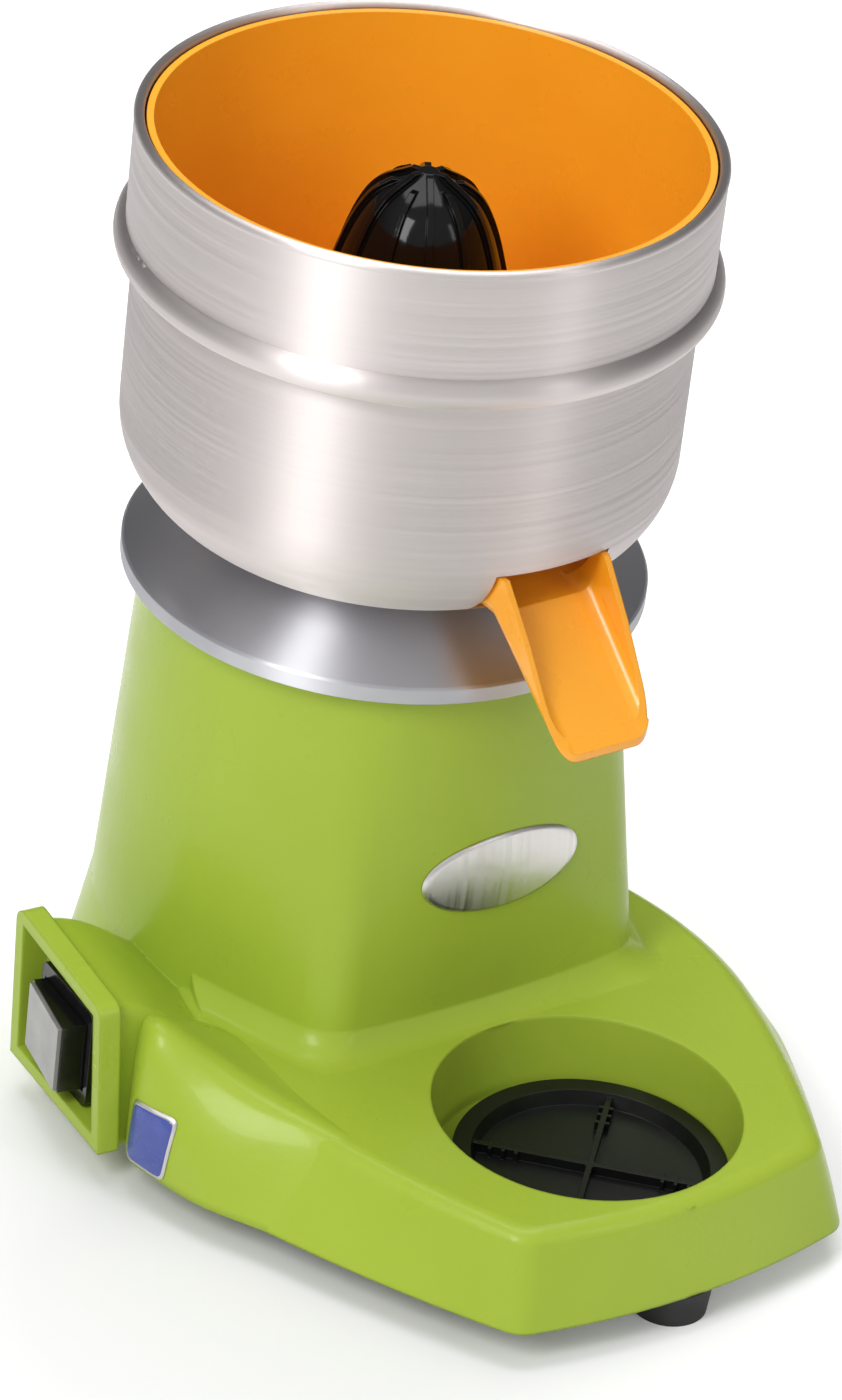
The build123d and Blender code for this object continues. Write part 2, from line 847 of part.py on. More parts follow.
with BuildPart() as rotor_end_rings:
    for ring_z in (rotor_low_z - end_ring_height, rotor_low_z + rotor_height):
        with BuildSketch(Plane.XY.offset(ring_z)):
            Circle(end_ring_radius)
            Circle(end_ring_bore, mode=Mode.SUBTRACT)
        extrude(amount=end_ring_height)

rotor_end_rings.part.label = "rotor_end_rings"
export_step(rotor_end_rings.part, "parts/rotor_end_rings.step")

with BuildPart() as cooling_fan:
    with BuildSketch(Plane.XY.offset(fan_z)):
        Circle(fan_hub_radius)
        with PolarLocations((fan_radius + fan_hub_radius) / 2 - overrun, fan_count):
            Rectangle(fan_radius - fan_hub_radius, fan_blade)
    extrude(amount=fan_height)
    with BuildSketch(Plane.XY.offset(fan_top_z - fan_disc)):
        Circle(fan_radius)
    extrude(amount=fan_disc)
    with BuildSketch(Plane.XY.offset(fan_z)):
        Circle(bearing_shaft_radius + running_gap)
    extrude(amount=fan_height, mode=Mode.SUBTRACT)

cooling_fan.part.label = "cooling_fan"
export_step(cooling_fan.part, "parts/cooling_fan.step")

# Electrical pieces on the base plate and the cord inlet
capacitor_z = plate_top_z + clip_wall + capacitor_radius
clip_radius = capacitor_radius + clip_wall

with BuildPart() as run_capacitor:
    with BuildSketch(Plane(origin=(capacitor_x, capacitor_y, capacitor_z), z_dir=(1, 0, 0))):
        Circle(capacitor_radius)
    extrude(amount=capacitor_length / 2, both=True)

run_capacitor.part.label = "run_capacitor"
export_step(run_capacitor.part, "parts/run_capacitor.step")

with BuildPart() as capacitor_clip:
    with BuildSketch(Plane(origin=(capacitor_x, capacitor_y, capacitor_z), x_dir=(0, 1, 0), z_dir=(1, 0, 0))):
        Circle(clip_radius)
        with Locations((0, -clip_radius)):
            Rectangle(2 * (clip_radius + clip_foot), clip_wall, align=(Align.CENTER, Align.MIN))
        Circle(capacitor_radius + running_gap, mode=Mode.SUBTRACT)
    extrude(amount=clip_width / 2, both=True)

capacitor_clip.part.label = "capacitor_clip"
export_step(capacitor_clip.part, "parts/capacitor_clip.step")

terminal_pitch = terminal_length / terminal_poles

with BuildPart() as terminal_block:
    with BuildSketch(Plane.XY.offset(plate_top_z)):
        with Locations((terminal_x, terminal_y)):
            Rectangle(terminal_length, terminal_width)
    extrude(amount=terminal_height)
    with BuildSketch(Plane.XY.offset(plate_top_z + terminal_height)):
        with Locations((terminal_x, terminal_y)):
            with GridLocations(terminal_pitch, terminal_width / 2, terminal_poles, 2):
                Circle(terminal_hole)
    extrude(amount=-terminal_height / 2, mode=Mode.SUBTRACT)

terminal_block.part.label = "terminal_block"
export_step(terminal_block.part, "parts/terminal_block.step")

with BuildPart() as cord_gland:
    with BuildSketch(gland_plane):
        Circle(gland_head)
    extrude(amount=gland_head_length)
    chamfer(cord_gland.faces().sort_by(Axis.Y)[-1].edges(), length=gland_head - gland_radius)
    with BuildSketch(gland_plane):
        Circle(gland_radius)
    extrude(amount=-gland_boss_depth - gland_thread)
    with BuildSketch(gland_plane.offset(gland_head_length)):
        Circle(gland_bore)
    extrude(amount=-gland_head_length - gland_boss_depth - gland_thread, mode=Mode.SUBTRACT)

cord_gland.part.label = "cord_gland"
export_step(cord_gland.part, "parts/cord_gland.step")

with BuildPart() as gland_nut:
    with BuildSketch(gland_plane.offset(-gland_boss_depth)):
        RegularPolygon(gland_nut_across / 2, 6, major_radius=False)
        Circle(gland_radius + running_gap, mode=Mode.SUBTRACT)
    extrude(amount=-gland_nut_height)

gland_nut.part.label = "gland_nut"
export_step(gland_nut.part, "parts/gland_nut.step")

# Switch: body behind the recess, bezel in front, and a rocker that tips about an upright pin
recess_plane = hood_plane.offset(-recess_depth)
pivot_plane = recess_plane.offset(rocker_pivot)
pivot_place = pivot_plane.from_local_coords((*switch_place, 0))
tilt = radians(rocker_tilt)
rocker_plane = Plane(
    origin=pivot_place,
    x_dir=hood_plane.x_dir * cos(tilt) + hood_plane.z_dir * sin(tilt),
    z_dir=hood_plane.z_dir * cos(tilt) - hood_plane.x_dir * sin(tilt),
)
pin_plane = Plane(origin=pivot_place, x_dir=hood_plane.x_dir, z_dir=(0, 0, 1))
opening_width = rocker_width + 2 * rocker_swing_gap
opening_height = rocker_height + 2 * seat_gap

with BuildPart() as switch_body:
    with BuildSketch(recess_plane):
        with Locations(switch_place):
            Rectangle(switch_body_width, switch_body_height)
    extrude(amount=-switch_body_depth)

switch_body.part.label = "switch_body"
export_step(switch_body.part, "parts/switch_body.step")

with BuildPart() as switch_bezel:
    with BuildSketch(recess_plane):
        with Locations(switch_place):
            RectangleRounded(bezel_width, bezel_height, bezel_corner)
            Rectangle(opening_width, opening_height, mode=Mode.SUBTRACT)
    extrude(amount=bezel_depth)
    with BuildSketch(pin_plane):
        Circle(rocker_pin_radius + running_gap)
    extrude(amount=opening_height / 2 + rocker_pin_length + seat_gap, both=True, mode=Mode.SUBTRACT)

switch_bezel.part.label = "switch_bezel"
export_step(switch_bezel.part, "parts/switch_bezel.step")

with BuildPart() as switch_rocker:
    with BuildSketch(rocker_plane.offset(-rocker_back)):
        RectangleRounded(rocker_width, rocker_height, lens_margin)
    extrude(amount=rocker_depth + rocker_back)
    with BuildSketch(pin_plane):
        Circle(rocker_pin_radius)
    extrude(amount=opening_height / 2 + rocker_pin_length, both=True)

switch_rocker.part.label = "switch_rocker"
export_step(switch_rocker.part, "parts/switch_rocker.step")

with BuildPart() as rocker_lens:
    with BuildSketch(rocker_plane.offset(rocker_depth)):
        RectangleRounded(rocker_width - 2 * lens_margin, rocker_height - 2 * lens_margin, lens_margin)
    extrude(amount=lens_thickness)

rocker_lens.part.label = "rocker_lens"
export_step(rocker_lens.part, "parts/rocker_lens.step")

# Steel bowl: flat seat, rounded corner, wall, bead, straight collar and rolled rim
corner_centre = (bowl_radius - bowl_corner, bowl_z + bowl_corner)
bead_low_z = bowl_z + bowl_wall_height
bead_top_z = bead_low_z + bead_height
bead_middle_z = bead_low_z + bead_height * bead_peak_share
rim_centre = (collar_radius - rim_in, rim_z - rim_tube)


def bowl_profile(radius_inset):
    """Points of the bowl's side, from its hole to its rim, on one face of the sheet."""
    return {
        "hole": (bowl_hole, bowl_z + radius_inset),
        "corner_low": (corner_centre[0], bowl_z + radius_inset),
        "corner_high": (bowl_radius - radius_inset, corner_centre[1]),
        "bead_low": (bowl_radius - radius_inset, bead_low_z + radius_inset),
        "bead_middle": (bead_radius - radius_inset, bead_middle_z),
        "bead_top": (collar_radius - radius_inset, bead_top_z - radius_inset),
        "collar_top": (collar_radius - radius_inset, rim_centre[1]),
    }


with BuildPart() as steel_bowl:
    outside = bowl_profile(0)
    inside = bowl_profile(sheet)
    with BuildSketch(Plane.XZ):
        with BuildLine():
            for face in (outside, inside):
                Line(face["hole"], face["corner_low"])
                TangentArc(face["corner_low"], face["corner_high"], tangent=(1, 0))
                Line(face["corner_high"], face["bead_low"])
                ThreePointArc(face["bead_low"], face["bead_middle"], face["bead_top"])
                Line(face["bead_top"], face["collar_top"])
            Line(outside["hole"], inside["hole"])
            Line(outside["collar_top"], inside["collar_top"])
        make_face()
        with Locations(rim_centre):
            Circle(rim_tube)
    revolve(axis=Axis.Z)
    with BuildSketch(Plane.XY.offset(liner_z + spout_root_low - notch_gap)):
        with Locations((0, -spout_root + notch_gap)):
            Rectangle(
                2 * (spout_root_half + notch_gap), bowl_radius - spout_root + bead_height,
                align=(Align.CENTER, Align.MAX),
            )
    extrude(amount=spout_root_high - spout_root_low + 2 * notch_gap, mode=Mode.SUBTRACT)

steel_bowl.part.label = "steel_bowl"
export_step(steel_bowl.part, "parts/steel_bowl.step")

# Juice liner with its spout
liner_top_z = rim_z - liner_top_drop
spout_high_z = liner_z + spout_root_high


def spout_section(reach, half_width, low_z, high_z, corner):
    """Upright section across the spout, rounded at its lower corners."""
    with BuildSketch(Plane.XZ.offset(reach)) as section:
        with Locations((0, low_z)):
            Rectangle(2 * half_width, high_z - low_z, align=(Align.CENTER, Align.MIN))
        fillet(section.vertices().sort_by(Axis.Y)[:2], radius=corner)
    return section.sketch


def liner_revolve(radius_inset, top_z, mode):
    """Body of revolution inside the bowl, shrunk by the inset."""
    radius = liner_radius - radius_inset
    corner = liner_corner - radius_inset
    low_z = liner_z + radius_inset
    with BuildSketch(Plane.XZ) as profile:
        with BuildLine():
            Line((0, low_z), (radius - corner, low_z))
            TangentArc((radius - corner, low_z), (radius, low_z + corner), tangent=(1, 0))
            Polyline(
                (radius, low_z + corner),
                (radius, bead_middle_z),
                (liner_top_radius - radius_inset, top_z),
                (0, top_z),
                (0, low_z),
            )
        make_face()
    revolve(profile.sketch, axis=Axis.Z, mode=mode)


def corner_reach(height, wall, share):
    """Reach of the liner's rounded lower corner at a height, drawn in by a wall, or a share of its swell."""
    swell = sqrt((liner_corner - wall) ** 2 - (liner_corner - height) ** 2)
    return liner_radius - liner_corner + swell * share


spout_bend = bowl_radius - spout_bend_in
spout_floor_z = liner_z + spout_root_low
spout_tip_z = liner_z + spout_tip_low


def spout_body(wall, end, mode):
    """Spout drawn in by a wall: level out of the bowl, then sloping down to its tip."""
    root = spout_section(
        spout_root - end, spout_root_half - wall, spout_floor_z + wall, spout_high_z, spout_corner - wall
    )
    bend = spout_section(
        spout_bend, spout_bend_half - wall, spout_floor_z + wall, spout_high_z, spout_corner - wall
    )
    tip = spout_section(
        spout_tip + end, spout_tip_half - wall, spout_tip_z + wall, spout_high_z, spout_corner - wall
    )
    loft([root, bend], mode=mode)
    loft([bend, tip], mode=mode)


with BuildPart() as juice_liner:
    spout_body(0, 0, Mode.ADD)
    with BuildSketch(Plane.XY.offset(spout_tip_z)) as spout_plan:
        with BuildLine():
            Polyline(
                (-spout_root_half, -spout_root),
                (-spout_bend_half, -spout_bend),
                (-spout_tip_half, -spout_tip),
                (spout_tip_half, -spout_tip),
                (spout_bend_half, -spout_bend),
                (spout_root_half, -spout_root),
                close=True,
            )
        make_face()
        fillet(spout_plan.vertices().sort_by(Axis.Y)[:2], radius=spout_lip_radius)
    extrude(amount=spout_root_high - spout_tip_low, mode=Mode.INTERSECT)
    with BuildSketch(Plane.YZ):
        with BuildLine():
            Polyline(
                (-bowl_radius + sheet, spout_high_z),
                (-bowl_radius - spout_brow_out, liner_z + spout_brow_high),
                (-spout_tip + spout_lip_in, liner_z + spout_lip_high),
                (-spout_tip - overrun, liner_z + spout_tip_high),
                (-spout_tip - overrun, spout_high_z + overrun),
                (-bowl_radius + sheet, spout_high_z + overrun),
                close=True,
            )
        make_face()
    extrude(amount=spout_root_half + overrun, both=True, mode=Mode.SUBTRACT)
    liner_revolve(0, liner_top_z, Mode.ADD)
    liner_revolve(liner_wall, liner_top_z + overrun, Mode.SUBTRACT)
    # Raised floor on a foot ring, level with the spout
    with BuildSketch(Plane.XZ):
        with BuildLine():
            Polyline(
                (0, liner_z + liner_wall / 2),
                (corner_reach(liner_wall / 2, 0, liner_foot_share), liner_z + liner_wall / 2),
                (
                    (corner_reach(liner_floor, 0, 1) + corner_reach(liner_floor, liner_wall, 1)) / 2,
                    liner_z + liner_floor,
                ),
                (0, liner_z + liner_floor),
                close=True,
            )
        make_face()
    revolve(axis=Axis.Z)
    with BuildSketch(Plane.XY.offset(liner_z)):
        Circle(liner_radius - liner_corner - liner_foot_width)
        Circle(chimney_radius + liner_wall, mode=Mode.SUBTRACT)
    extrude(amount=liner_floor - liner_wall, mode=Mode.SUBTRACT)
    spout_body(spout_wall, overrun, Mode.SUBTRACT)
    # Chimney round the motor hub
    with BuildSketch(Plane.XY.offset(liner_z)):
        Circle(chimney_radius)
    extrude(amount=chimney_height)
    with BuildSketch(Plane.XY.offset(liner_z)):
        Circle(chimney_radius - chimney_wall)
    extrude(amount=chimney_height, mode=Mode.SUBTRACT)
    # Ledge that carries the strainer
    with BuildSketch(Plane.XY.offset(liner_z + ledge_height - ledge_thickness)):
        Circle(liner_radius - seat_gap)
        Circle(liner_radius - liner_wall - ledge_width, mode=Mode.SUBTRACT)
    extrude(amount=ledge_thickness)

juice_liner.part.label = "juice_liner"
export_step(juice_liner.part, "parts/juice_liner.step")

# Strainer: slotted dish on the liner's ledge, with a collar round the chimney
strainer_z = liner_z + ledge_height
slot_reach = strainer_radius - ledge_width - strainer_collar
slot_band = (slot_reach - 2 * slot_margin) / strainer_slot_rings

with BuildPart() as strainer:
    with BuildSketch(Plane.XY.offset(strainer_z)):
        Circle(strainer_radius)
        Circle(strainer_collar, mode=Mode.SUBTRACT)
        for ring in range(strainer_slot_rings):
            ring_radius = strainer_collar + slot_margin + slot_band * (ring + 1 / 2)
            with PolarLocations(ring_radius, strainer_slots * (ring + 1)):
                Rectangle(slot_band - slot_margin, strainer_slot_width, mode=Mode.SUBTRACT)
    extrude(amount=strainer_sheet)

strainer.part.label = "strainer"
export_step(strainer.part, "parts/strainer.step")

with BuildPart() as cone_washer:
    with BuildSketch(Plane.XY.offset(washer_z)):
        Circle(washer_radius)
        Circle(washer_bore, mode=Mode.SUBTRACT)
    extrude(amount=washer_thickness)

cone_washer.part.label = "cone_washer"
export_step(cone_washer.part, "parts/cone_washer.step")


def cone_points(swell):
    """Side of the ogive from its skirt to its tip, swollen outwards."""
    return [
        (cone_base_radius * radius_share + swell, cone_z + cone_height * height_share + swell * height_share)
        for radius_share, height_share in cone_shares
    ]


def ridge_sketch(drop):
    """Upright blade that follows the ogive and stands a little out of it."""
    with BuildSketch(Plane.XZ) as blade:
        with BuildLine():
            side = cone_points(ridge_height)
            Spline(*side)
            top = side[-1]
            Polyline(top, (0, top[1]), (0, side[0][1]), side[0])
        make_face()
        with Locations((0, cone_tip_z + overrun - drop)):
            Rectangle(
                cone_base_radius + overrun, cone_height, align=(Align.MIN, Align.MIN), mode=Mode.SUBTRACT
            )
    return blade.sketch


with BuildPart() as juicing_cone:
    with BuildSketch(Plane.XZ):
        with BuildLine():
            side = cone_points(0)
            Spline(*side)
            Polyline(side[-1], (0, side[-1][1]), (0, cone_z), side[0])
        make_face()
    revolve(axis=Axis.Z)
    for index in range(2 * ridge_count):
        blade = ridge_sketch(short_ridge_drop * (index % 2) + ridge_height)
        extrude(
            Rot(0, 0, index * 180 / ridge_count) * blade, amount=ridge_width / 2, both=True,
        )
    with BuildSketch(Plane.XZ):
        with BuildLine():
            Polyline(
                (cone_socket_radius, cone_z),
                (cone_base_radius - cone_shell, cone_z),
                (cone_base_radius * cone_inner_share - cone_shell, cone_z + drive_height * cone_waist_share),
                (cone_socket_radius, cone_z + drive_height),
                close=True,
            )
        make_face()
    revolve(axis=Axis.Z, mode=Mode.SUBTRACT)
    with BuildSketch(Plane.XY.offset(cone_z)):
        RegularPolygon(drive_across / 2 + drive_gap, 6, major_radius=False)
    extrude(amount=drive_height + drive_gap, mode=Mode.SUBTRACT)

juicing_cone.part.label = "juicing_cone"
export_step(juicing_cone.part, "parts/juicing_cone.step")

# Drip tray: ring rim, shallow well, and a ribbed cross that carries the glass
tray_place = (tray_shift_x, tray_shift_y - pocket_reach, pocket_floor_z)
tray_axis = Axis(tray_place, (0, 0, 1))
rib_reach = tray_well_radius + tray_rib

with BuildPart() as drip_tray:
    with BuildSketch(Plane(origin=tray_place, x_dir=(1, 0, 0), z_dir=(0, -1, 0))):
        with BuildLine():
            Polyline(
                (0, 0),
                (tray_radius - tray_draft, 0),
                (tray_radius, tray_height),
                (tray_well_radius + tray_rib, tray_height),
                (tray_well_radius, tray_floor),
                (0, tray_floor),
                close=True,
            )
        make_face()
    revolve(axis=tray_axis)
    with BuildSketch(Plane(origin=tray_place).offset(tray_floor)):
        with PolarLocations(0, rib_count, start_angle=45):
            Rectangle(rib_reach, tray_rib, align=(Align.MIN, Align.CENTER))
            for tooth in range(teeth_per_rib):
                with Locations((tray_well_radius - tooth_pitch * (tooth + 1), 0)):
                    Rectangle(tooth_width, tooth_length)
        Rectangle(tray_post, tray_post, rotation=45)
    extrude(amount=tray_rib_height)

drip_tray.part.label = "drip_tray"
export_step(drip_tray.part, "parts/drip_tray.step")
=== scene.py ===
import math

import bpy
from mathutils import Matrix, Vector
from mathutils.bvhtree import BVHTree


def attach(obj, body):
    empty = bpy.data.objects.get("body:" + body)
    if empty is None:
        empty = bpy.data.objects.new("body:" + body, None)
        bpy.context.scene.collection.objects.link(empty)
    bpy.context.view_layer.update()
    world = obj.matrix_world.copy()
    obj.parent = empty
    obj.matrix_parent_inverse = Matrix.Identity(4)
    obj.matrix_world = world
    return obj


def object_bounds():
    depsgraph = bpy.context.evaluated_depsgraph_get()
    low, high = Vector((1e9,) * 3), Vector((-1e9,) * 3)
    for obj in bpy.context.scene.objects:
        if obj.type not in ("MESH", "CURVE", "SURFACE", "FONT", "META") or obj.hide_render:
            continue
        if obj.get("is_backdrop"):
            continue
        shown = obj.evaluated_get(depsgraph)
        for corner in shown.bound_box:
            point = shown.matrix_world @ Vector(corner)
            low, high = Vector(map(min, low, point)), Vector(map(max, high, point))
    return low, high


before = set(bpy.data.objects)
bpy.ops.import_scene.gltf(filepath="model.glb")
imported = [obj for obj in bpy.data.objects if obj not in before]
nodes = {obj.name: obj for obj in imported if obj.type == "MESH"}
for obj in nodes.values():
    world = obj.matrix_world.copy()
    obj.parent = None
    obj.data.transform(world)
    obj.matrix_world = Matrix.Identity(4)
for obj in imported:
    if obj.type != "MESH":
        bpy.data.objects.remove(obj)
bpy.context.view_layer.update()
scene = bpy.context.scene
MM = 0.001


def add_node(tree, kind, operation=None, **values):
    """A new shader node with its inputs set by name."""
    node = tree.nodes.new(kind)
    if operation:
        node.operation = operation
    for socket, value in values.items():
        node.inputs[socket.replace("_", " ")].default_value = value
    return node


# Materials

COARSE_DETAIL, FINE_DETAIL = 2.0, 3.0  # octaves of a noise
NOISE_LOW, NOISE_HIGH = 0.3, 0.7  # part of a noise that the roughness is spread over
BLEND_LOW, BLEND_HIGH = 0.35, 0.65  # part of a noise where one colour turns into the other
BEVEL_SAMPLES = 6
QUARTER_TURN = 0.25
BAND_FROM, BAND_TO = 290 * MM, 296 * MM  # the bowl's finish turns smoother between these heights

# Stretches of a noise: its scale along each axis
EVEN = (1, 1, 1)
TURNED = (4, 4, 900)
STACKED = (3, 3, 1600)
WOUND = (500, 500, 900)
BRUSHED = (1500, 6, 6)
BRUSHED_WIDE = (1200, 6, 6)


def linear(red, green, blue):
    """Screen colour, as the renderer's linear colour, by the standard screen curve."""
    out = []
    for value in (red, green, blue):
        share = value / 255
        out.append(share / 12.92 if share <= 0.04045 else ((share + 0.055) / 1.055) ** 2.4)
    return (*out, 1.0)


class Look:
    """A principled material with helpers for procedural detail in the object's own coordinates.

    The colour and roughness given at the start are the middle values that the vary methods spread.
    """

    def __init__(self, name, colour, metallic=0.0, roughness=0.4, coat=0.0, coat_roughness=0.05):
        self.material = bpy.data.materials.new(name)
        self.material.use_nodes = True
        self.tree = self.material.node_tree
        self.shader = self.tree.nodes["Principled BSDF"]
        self.set("Base Color", colour)
        self.set("Metallic", metallic)
        self.set("Roughness", roughness)
        self.set("Coat Weight", coat)
        self.set("Coat Roughness", coat_roughness)
        self.normal = None

    def set(self, socket, value):
        self.shader.inputs[socket].default_value = value

    def link(self, source, target):
        self.tree.links.new(source, target)

    def add(self, kind, operation=None, **values):
        return add_node(self.tree, kind, operation, **values)

    def noise(self, scale, detail, stretch):
        place = self.add("ShaderNodeTexCoord")
        mapping = self.add("ShaderNodeMapping", Scale=stretch)
        texture = self.add("ShaderNodeTexNoise", Scale=scale, Detail=detail)
        self.link(place.outputs["Object"], mapping.inputs["Vector"])
        self.link(mapping.outputs["Vector"], texture.inputs["Vector"])
        return texture.outputs["Fac"]

    def use_normal(self, output):
        self.normal = output
        self.link(output, self.shader.inputs["Normal"])

    def soften(self, radius):
        """Round the sharp edges' shading."""
        bevel = self.add("ShaderNodeBevel", Radius=radius)
        bevel.samples = BEVEL_SAMPLES
        self.use_normal(bevel.outputs["Normal"])

    def relief(self, scale, strength, distance, detail=COARSE_DETAIL, stretch=EVEN):
        """Fine unevenness of the surface, over softened edges where there are any."""
        bump = self.add("ShaderNodeBump", Strength=strength, Distance=distance)
        self.link(self.noise(scale, detail, stretch), bump.inputs["Height"])
        if self.normal:
            self.link(self.normal, bump.inputs["Normal"])
        self.use_normal(bump.outputs["Normal"])

    def vary_roughness(self, scale, low, high, detail=FINE_DETAIL, stretch=EVEN):
        span = self.add(
            "ShaderNodeMapRange", From_Min=NOISE_LOW, From_Max=NOISE_HIGH, To_Min=low, To_Max=high
        )
        self.link(self.noise(scale, detail, stretch), span.inputs["Value"])
        self.link(span.outputs["Result"], self.shader.inputs["Roughness"])

    def vary_colour(self, scale, first, second):
        ramp = self.add("ShaderNodeValToRGB")
        start, end = ramp.color_ramp.elements
        start.position, start.color = BLEND_LOW, first
        end.position, end.color = BLEND_HIGH, second
        self.link(self.noise(scale, FINE_DETAIL, EVEN), ramp.inputs["Fac"])
        self.link(ramp.outputs["Color"], self.shader.inputs["Base Color"])

    def polish_above(self, low, high, share):
        """Take the varied roughness down to a share of itself above a height of the piece."""
        rough = self.shader.inputs["Roughness"]
        place = self.add("ShaderNodeTexCoord")
        split = self.add("ShaderNodeSeparateXYZ")
        fade = self.add("ShaderNodeMapRange", From_Min=low, From_Max=high, To_Min=1.0, To_Max=share)
        product = self.add("ShaderNodeMath", "MULTIPLY")
        self.link(place.outputs["Object"], split.inputs["Vector"])
        self.link(split.outputs["Z"], fade.inputs["Value"])
        self.link(rough.links[0].from_socket, product.inputs[0])
        self.link(fade.outputs["Result"], product.inputs[1])
        self.link(product.outputs[0], rough)

    def spun(self, amount):
        """Highlights stretched across the turning marks of a spun piece."""
        self.set("Anisotropic", amount)
        self.set("Anisotropic Rotation", QUARTER_TURN)
        tangent = self.add("ShaderNodeTangent")
        tangent.direction_type = "RADIAL"
        tangent.axis = "Z"
        self.link(tangent.outputs["Tangent"], self.shader.inputs["Tangent"])


green_paint = Look("green_paint", linear(158, 181, 57), roughness=0.3, coat=0.08)
green_paint.set("Specular IOR Level", 0.22)
green_paint.soften(1.6 * MM)
green_paint.relief(scale=330, strength=0.22, distance=0.4 * MM)
green_paint.vary_colour(scale=9, first=linear(155, 178, 55), second=linear(161, 184, 60))
green_paint.vary_roughness(scale=40, low=0.26, high=0.36)

orange_plastic = Look("orange_plastic", linear(249, 168, 36), roughness=0.3, coat=0.25)
orange_plastic.soften(0.6 * MM)
orange_plastic.relief(scale=160, strength=0.05, distance=0.3 * MM)
orange_plastic.vary_colour(scale=12, first=linear(247, 165, 34), second=linear(251, 171, 39))
orange_plastic.vary_roughness(scale=70, low=0.26, high=0.34)

black_gloss = Look("black_gloss", linear(9, 9, 10), roughness=0.1)
black_gloss.set("Specular IOR Level", 0.22)
black_gloss.soften(0.5 * MM)
black_gloss.relief(scale=110, strength=0.05, distance=0.3 * MM)
black_gloss.vary_roughness(scale=60, low=0.07, high=0.14)

black_satin = Look("black_satin", linear(12, 13, 13), roughness=0.4)
black_satin.set("Specular IOR Level", 0.35)
black_satin.soften(0.4 * MM)
black_satin.relief(scale=900, strength=0.18, distance=0.15 * MM)
black_satin.vary_roughness(scale=80, low=0.32, high=0.46)

rocker_black = Look("rocker_black", linear(15, 15, 15), roughness=0.2, coat=0.2)
rocker_black.soften(0.5 * MM)
rocker_black.vary_roughness(scale=200, low=0.16, high=0.26)

rubber = Look("foot_rubber", linear(24, 24, 24), roughness=0.62)
rubber.soften(0.8 * MM)
rubber.relief(scale=1200, strength=0.25, distance=0.15 * MM)
rubber.vary_roughness(scale=90, low=0.55, high=0.72)

bowl_steel = Look("bowl_steel", linear(217, 210, 208), metallic=1.0, roughness=0.52)
bowl_steel.relief(scale=1, strength=0.05, distance=0.05 * MM, detail=4.0, stretch=TURNED)
bowl_steel.vary_roughness(scale=1, low=0.47, high=0.57, detail=4.0, stretch=TURNED)
bowl_steel.spun(0.9)
bowl_steel.polish_above(BAND_FROM, BAND_TO, share=0.9)

polished = Look("polished_aluminium", linear(206, 206, 211), metallic=1.0, roughness=0.46)
polished.soften(0.6 * MM)
polished.relief(scale=420, strength=0.07, distance=0.12 * MM, detail=4.0)
polished.vary_roughness(scale=55, low=0.42, high=0.50, detail=5.0)
polished.spun(0.95)

plain_steel = Look("plain_steel", linear(178, 178, 181), metallic=1.0, roughness=0.32)
plain_steel.soften(0.3 * MM)
plain_steel.relief(scale=700, strength=0.08, distance=0.08 * MM)
plain_steel.vary_roughness(scale=120, low=0.26, high=0.42)

plate_steel = Look("plate_steel", linear(206, 203, 201), metallic=1.0, roughness=0.34)
plate_steel.relief(scale=1, strength=0.10, distance=0.05 * MM, detail=FINE_DETAIL, stretch=BRUSHED)
plate_steel.vary_roughness(scale=1, low=0.28, high=0.44, stretch=BRUSHED_WIDE)

cast_metal = Look("cast_aluminium", linear(160, 160, 162), metallic=1.0, roughness=0.45)
cast_metal.relief(scale=600, strength=0.3, distance=0.2 * MM)
cast_metal.vary_roughness(scale=90, low=0.38, high=0.55)

iron = Look("motor_iron", linear(88, 88, 90), metallic=0.9, roughness=0.5)
iron.relief(scale=1, strength=0.4, distance=0.2 * MM, stretch=STACKED)
iron.vary_roughness(scale=60, low=0.42, high=0.58)

copper = Look("winding_copper", linear(186, 108, 60), metallic=1.0, roughness=0.38)
copper.relief(scale=1, strength=0.5, distance=0.3 * MM, stretch=WOUND)
copper.vary_roughness(scale=80, low=0.30, high=0.46)

white_plastic = Look("capacitor_white", linear(218, 218, 213), roughness=0.5)
white_plastic.soften(0.4 * MM)
white_plastic.vary_roughness(scale=60, low=0.44, high=0.56)

lens_smoke = Look("lens_smoke", linear(128, 126, 125), roughness=0.2, coat=0.5, coat_roughness=0.04)
lens_smoke.soften(0.3 * MM)
lens_smoke.vary_colour(scale=60, first=linear(120, 118, 117), second=linear(136, 134, 133))
lens_smoke.vary_roughness(scale=140, low=0.16, high=0.26)

blue_enamel = Look("blue_enamel", linear(58, 74, 150), roughness=0.28, coat=0.4)
blue_enamel.vary_colour(scale=180, first=linear(54, 70, 145), second=linear(62, 78, 156))
blue_enamel.vary_roughness(scale=160, low=0.22, high=0.34)

looks = {
    green_paint: ["body_casting"],
    polished: ["motor_flange"],
    bowl_steel: ["steel_bowl"],
    orange_plastic: ["juice_liner", "strainer"],
    black_gloss: ["juicing_cone"],
    black_satin: ["cone_washer", "drip_tray", "switch_body", "cooling_fan", "cord_gland", "gland_nut"],
    rocker_black: ["switch_bezel", "switch_rocker"],
    lens_smoke: ["rocker_lens"],
    rubber: ["rubber_feet", "shaft_seal"],
    plain_steel: [
        "base_plate", "capacitor_clip", "base_plate_screws", "foot_screws", "foot_nuts",
        "flange_screws", "motor_tie_bolts", "motor_shaft", "upper_bearing", "lower_bearing",
    ],
    iron: ["rotor_core", "stator_core"],
    copper: ["stator_winding"],
    cast_metal: ["rotor_end_rings", "lower_end_shield"],
    white_plastic: ["run_capacitor", "terminal_block"],
}
for look, names in looks.items():
    for name in names:
        slots = nodes[name].data.materials
        slots.clear()
        slots.append(look.material)


# Pieces added to the casting


